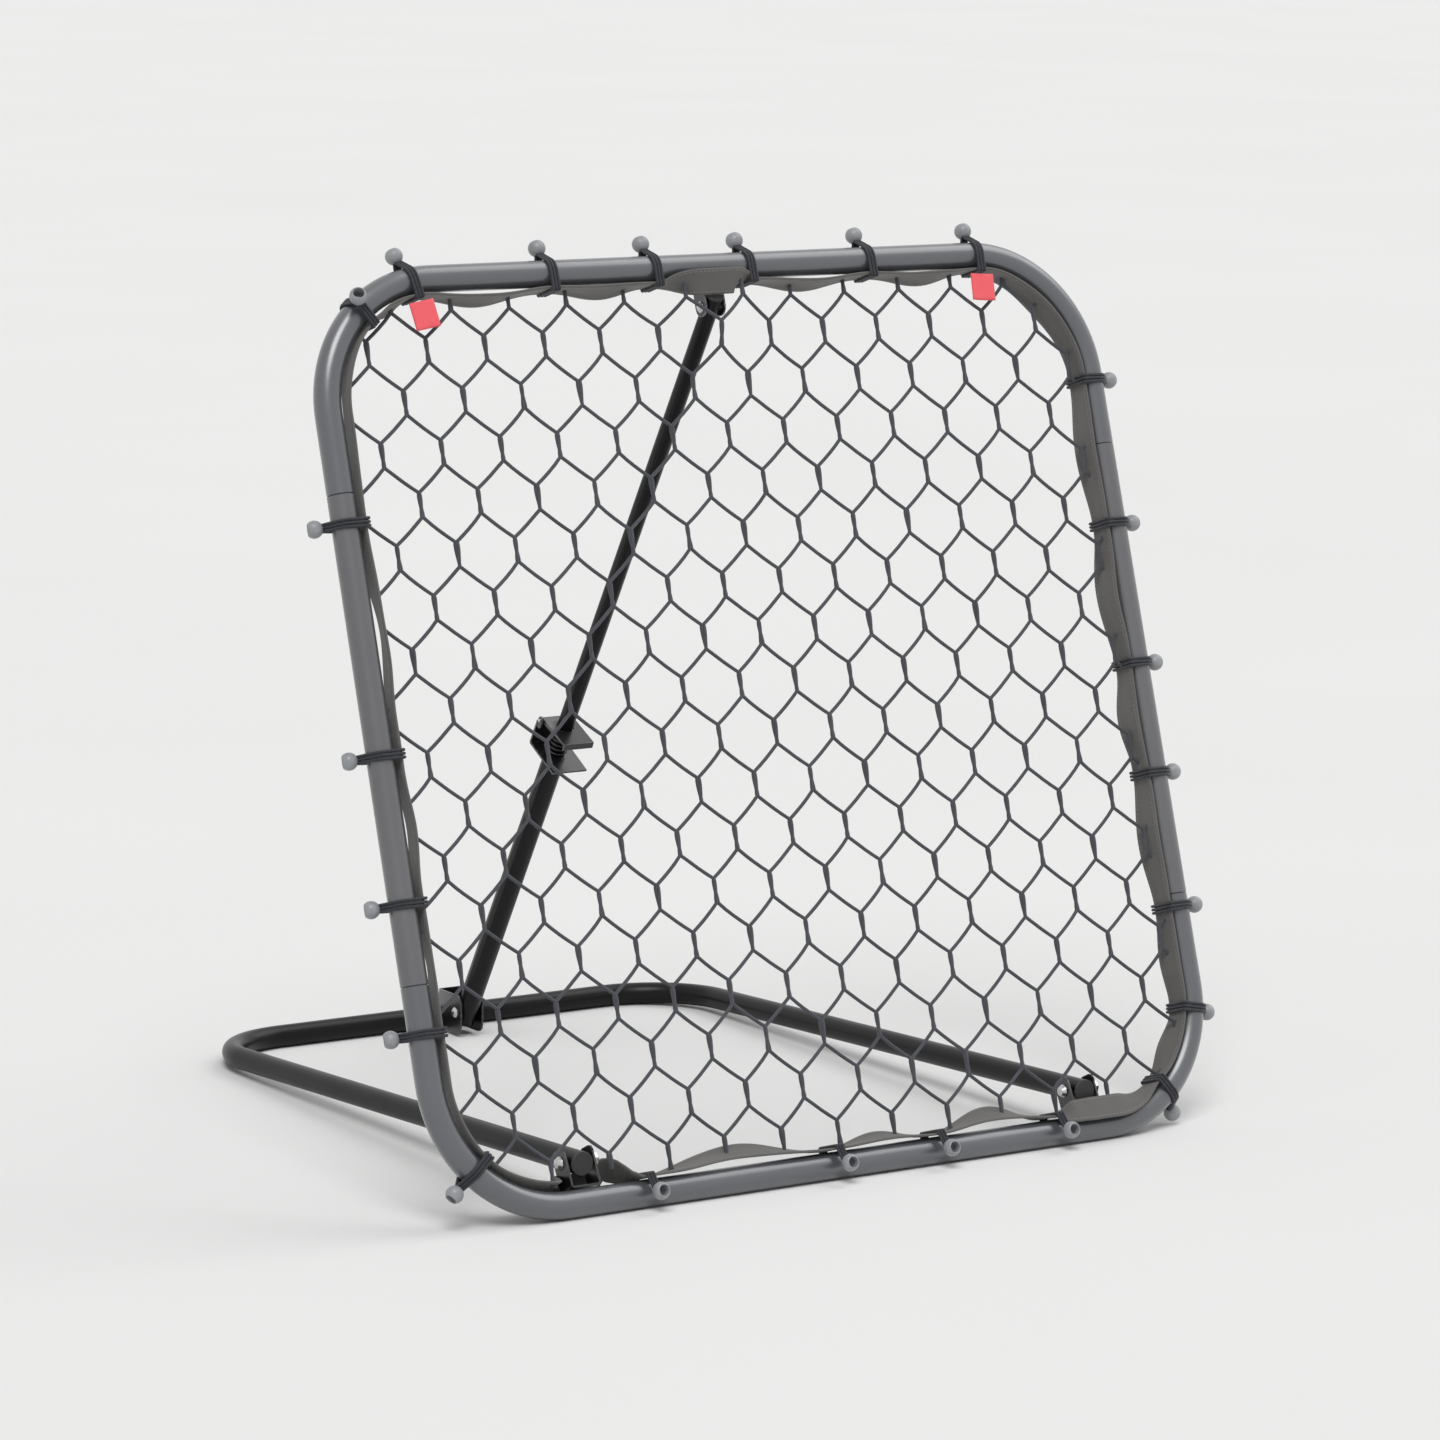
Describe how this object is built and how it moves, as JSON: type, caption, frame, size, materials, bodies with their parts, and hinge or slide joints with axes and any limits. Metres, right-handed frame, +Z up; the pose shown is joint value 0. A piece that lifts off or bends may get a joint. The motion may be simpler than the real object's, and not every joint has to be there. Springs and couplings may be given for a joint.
{
  "type": "soccer rebounder",
  "caption": "Square tube frame with an elastically laced hexagonal net, hinged on a U-shaped base and leaned back on a telescopic strut.",
  "frame": {"origin": "on the ground, under the middle of the frame's bottom tube, where its flat stands", "axes": "+X across the frame, to the right seen from the net's front; +Y from the net to the back of the base; +Z up"},
  "size_m": [0.8801, 0.7497, 0.8182],
  "materials": {
    "frame_paint": "satin dark grey enamel",
    "black_paint": "satin black enamel",
    "zinc": "zinc plated",
    "grey_plastic": "matte dark grey",
    "net_cord": "knotless polyester cord",
    "webbing": "woven polyester webbing",
    "ball_plastic": "light grey, on a charcoal elastic cord",
    "tag_red": "plain coral red"
  },
  "bodies": {
    "base": {"base_tube": "black_paint", "arm_plug_left": "grey_plastic", "arm_plug_right": "grey_plastic", "foot_bracket": "black_paint", "foot_rivet": "zinc"},
    "frame": {"frame_top_tube": "frame_paint", "frame_left_tube": "frame_paint", "frame_right_tube": "frame_paint", "frame_bottom_tube": "frame_paint", "hinge_bracket_left": "black_paint", "hinge_bracket_right": "black_paint", "hinge_bolt_left": "zinc", "hinge_bolt_right": "zinc", "hinge_nut_left": "zinc", "hinge_nut_right": "zinc", "strut_top_bracket": "black_paint", "strut_top_rivet": "zinc", "net": "net_cord", "border_band": "webbing", "tag_left": "tag_red", "tag_right": "tag_red", "ball_bungee_01": "ball_plastic", "ball_bungee_02": "ball_plastic", "ball_bungee_03": "ball_plastic", "ball_bungee_04": "ball_plastic", "ball_bungee_05": "ball_plastic", "ball_bungee_06": "ball_plastic", "ball_bungee_07": "ball_plastic", "ball_bungee_08": "ball_plastic", "ball_bungee_09": "ball_plastic", "ball_bungee_10": "ball_plastic", "ball_bungee_11": "ball_plastic", "ball_bungee_12": "ball_plastic", "ball_bungee_13": "ball_plastic", "ball_bungee_14": "ball_plastic", "ball_bungee_15": "ball_plastic", "ball_bungee_16": "ball_plastic", "ball_bungee_17": "ball_plastic", "ball_bungee_18": "ball_plastic", "ball_bungee_19": "ball_plastic", "ball_bungee_20": "ball_plastic", "ball_bungee_21": "ball_plastic", "ball_bungee_22": "ball_plastic", "ball_bungee_23": "ball_plastic"},
    "strut_upper": {"strut_upper_tube": "black_paint", "strut_upper_plug": "grey_plastic", "strut_inner_slider": "grey_plastic"},
    "strut_lower": {"strut_lower_tube": "black_paint", "strut_guide_bush": "grey_plastic", "adjuster_bracket": "black_paint", "lock_spring": "zinc", "lock_pin": "zinc"},
    "lock": {"lock_plate": "black_paint"}
  },
  "joints": [
    {"name": "frame_lean", "type": "hinge", "parent": "base", "child": "frame", "pos_m": [0, 0.0217, 0.04363], "axis": [-1, 0, 0], "range_deg": [0, 27.4]},
    {"name": "strut_pivot", "type": "hinge", "parent": "frame", "child": "strut_upper", "pos_m": [0, 0.23691, 0.75408], "axis": [1, 0, 0], "range_deg": [0, 9.8]},
    {"name": "strut_slide", "type": "slide", "parent": "strut_upper", "child": "strut_lower", "axis": [0, -0.5022, 0.8647], "range_m": [0, 0.281]},
    {"name": "lock_tilt", "type": "hinge", "parent": "strut_lower", "child": "lock", "pos_m": [0, 0.49485, 0.33982], "axis": [1, 0, 0], "range_deg": [0, 4.5], "stiffness_Nm_per_rad": 0.05, "springref_deg": -17.19}
  ],
  "couplings": [
    {"joint": "strut_pivot", "follows": "frame_lean", "ratio": 0.35223},
    {"joint": "strut_slide", "follows": "frame_lean", "m_per_rad": 0.58502}
  ]
}
